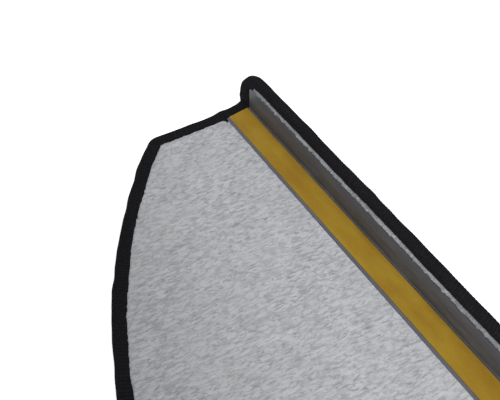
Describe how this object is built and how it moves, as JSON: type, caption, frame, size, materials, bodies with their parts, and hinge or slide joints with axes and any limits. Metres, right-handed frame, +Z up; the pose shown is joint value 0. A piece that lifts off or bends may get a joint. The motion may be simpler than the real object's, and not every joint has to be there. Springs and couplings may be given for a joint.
{
  "type": "stair tread mat",
  "caption": "Half-round carpet mat for a stair tread, with felt back, whipped edge and a folded lip stiffened by an angle profile with a tape strip.",
  "frame": {"origin": "on the ground under the middle of the mat's outline, with the mat lying on its pile", "axes": "+X along the nosing, +Y out past the folded lip, +Z up from the pile face to the felt; half a turn about X puts the mat on its step"},
  "size_m": [0.65, 0.25, 0.047],
  "materials": {
    "pile_yarn": "matt looped pile, dark grey",
    "needled_felt": "matt mottled needled felt, pale grey",
    "whipping_yarn": "matt twisted yarn, black",
    "grey_plastic": "satin extruded plastic, mid grey",
    "tape": "milky adhesive film",
    "yellow_liner": "satin silicone-coated paper, mustard yellow"
  },
  "bodies": {
    "root": {"carpet_pile": "pile_yarn", "felt_backing": "needled_felt", "whipped_edge": "whipping_yarn", "angle_profile": "grey_plastic", "adhesive_tape": "tape", "release_liner": "yellow_liner"}
  },
  "joints": []
}
